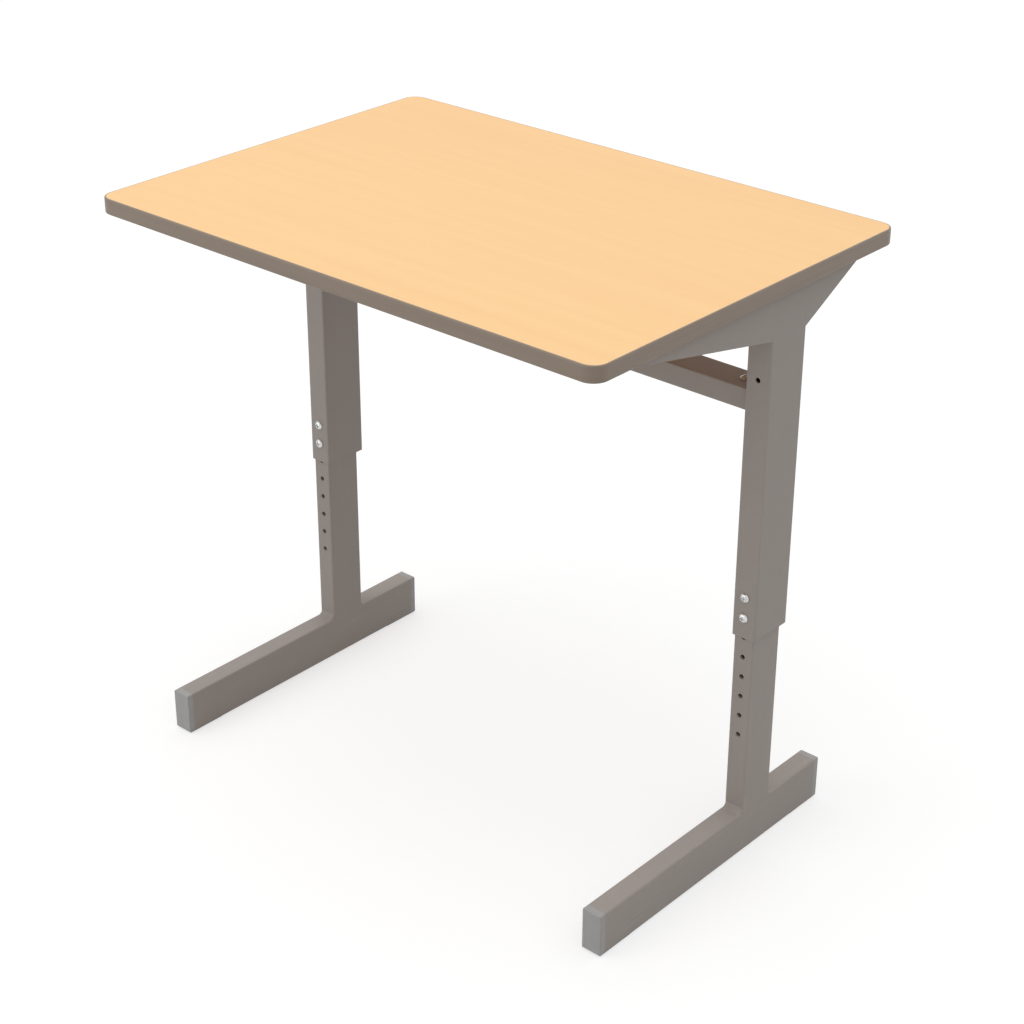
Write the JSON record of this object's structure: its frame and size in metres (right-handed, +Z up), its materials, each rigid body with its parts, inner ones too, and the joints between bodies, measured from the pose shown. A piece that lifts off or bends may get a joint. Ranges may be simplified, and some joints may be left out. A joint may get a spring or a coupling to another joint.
{
  "type": "height-adjustable desk",
  "caption": "Single desk with a rounded rectangular laminated top on two telescoping steel legs with long feet and a crossbeam; the height is set with screws in a row of holes.",
  "frame": {"origin": "on the floor under the middle of the top, at the setting of the picture", "axes": "+X to the user's right, +Y away from the user, +Z up"},
  "size_m": [0.7, 0.5, 0.7],
  "materials": {
    "wood_decor_laminate": "satin",
    "particle_board": "matte",
    "backing_laminate": "matte",
    "edge_band_plastic": "satin",
    "frame_paint": "satin",
    "zinc_plated_steel": "bright",
    "foot_cap_plastic": "matte",
    "guide_nylon": "matte"
  },
  "bodies": {
    "lower_legs": {"right_inner_tube": "frame_paint", "right_upper_guide": "guide_nylon", "right_foot_tube": "frame_paint", "right_foot_front_cap": "foot_cap_plastic", "right_foot_rear_cap": "foot_cap_plastic", "right_base_welds": "frame_paint", "left_inner_tube": "frame_paint", "left_upper_guide": "guide_nylon", "left_foot_tube": "frame_paint", "left_foot_front_cap": "foot_cap_plastic", "left_foot_rear_cap": "foot_cap_plastic", "left_base_welds": "frame_paint"},
    "upper_frame": {"tabletop_core": "particle_board", "tabletop_laminate": "wood_decor_laminate", "tabletop_backer": "backing_laminate", "edge_band": "edge_band_plastic", "crossbeam": "frame_paint", "beam_screws": "zinc_plated_steel", "right_mounting_plate": "frame_paint", "right_front_arm": "frame_paint", "right_rear_arm": "frame_paint", "right_outer_tube": "frame_paint", "right_guide_sleeve": "guide_nylon", "right_beam_bracket": "frame_paint", "right_wood_screws": "zinc_plated_steel", "left_mounting_plate": "frame_paint", "left_front_arm": "frame_paint", "left_rear_arm": "frame_paint", "left_outer_tube": "frame_paint", "left_guide_sleeve": "guide_nylon", "left_beam_bracket": "frame_paint", "left_wood_screws": "zinc_plated_steel"},
    "right_screw_1": {"right_adjusting_screw_1": "zinc_plated_steel"},
    "right_screw_2": {"right_adjusting_screw_2": "zinc_plated_steel"},
    "left_screw_1": {"left_adjusting_screw_1": "zinc_plated_steel"},
    "left_screw_2": {"left_adjusting_screw_2": "zinc_plated_steel"}
  },
  "joints": [
    {"name": "height_slide", "type": "slide", "parent": "lower_legs", "child": "upper_frame", "axis": [0, 0, 1], "range_m": [-0.15, 0]},
    {"name": "right_screw_1_slide", "type": "slide", "parent": "upper_frame", "child": "right_screw_1", "axis": [0, -1, 0], "range_m": [0, 0.012]},
    {"name": "right_screw_2_slide", "type": "slide", "parent": "upper_frame", "child": "right_screw_2", "axis": [0, -1, 0], "range_m": [0, 0.012]},
    {"name": "left_screw_1_slide", "type": "slide", "parent": "upper_frame", "child": "left_screw_1", "axis": [0, -1, 0], "range_m": [0, 0.012]},
    {"name": "left_screw_2_slide", "type": "slide", "parent": "upper_frame", "child": "left_screw_2", "axis": [0, -1, 0], "range_m": [0, 0.012]}
  ]
}
